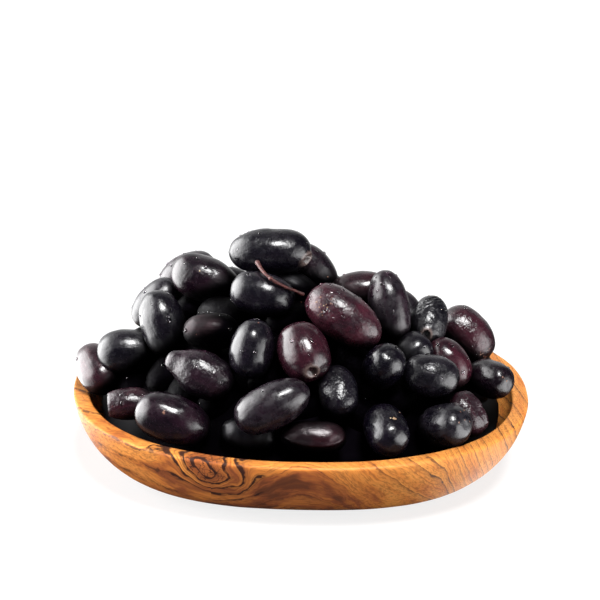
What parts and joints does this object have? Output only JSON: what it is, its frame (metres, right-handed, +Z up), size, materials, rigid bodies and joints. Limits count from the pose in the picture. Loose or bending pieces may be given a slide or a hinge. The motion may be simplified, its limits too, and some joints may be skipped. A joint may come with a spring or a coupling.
{
  "type": "dish of olives",
  "caption": "Oval olive-wood dish heaped high with dark, glossy olives, with a thin stalk lying on the heap.",
  "frame": {"origin": "middle of the dish's foot, on the surface that the dish stands on", "axes": "+X along the dish's length, +Y to its back, +Z up"},
  "size_m": [0.153, 0.132, 0.0802],
  "materials": {
    "olive_wood": "oiled, smooth, with dark growth lines",
    "olive_skin": "wet, glossy purple-black skin",
    "stalk_wood": "dried, dull red-brown"
  },
  "bodies": {
    "root": {"dish": "olive_wood", "olive_heap": "olive_skin", "stalk": "stalk_wood"}
  },
  "joints": []
}
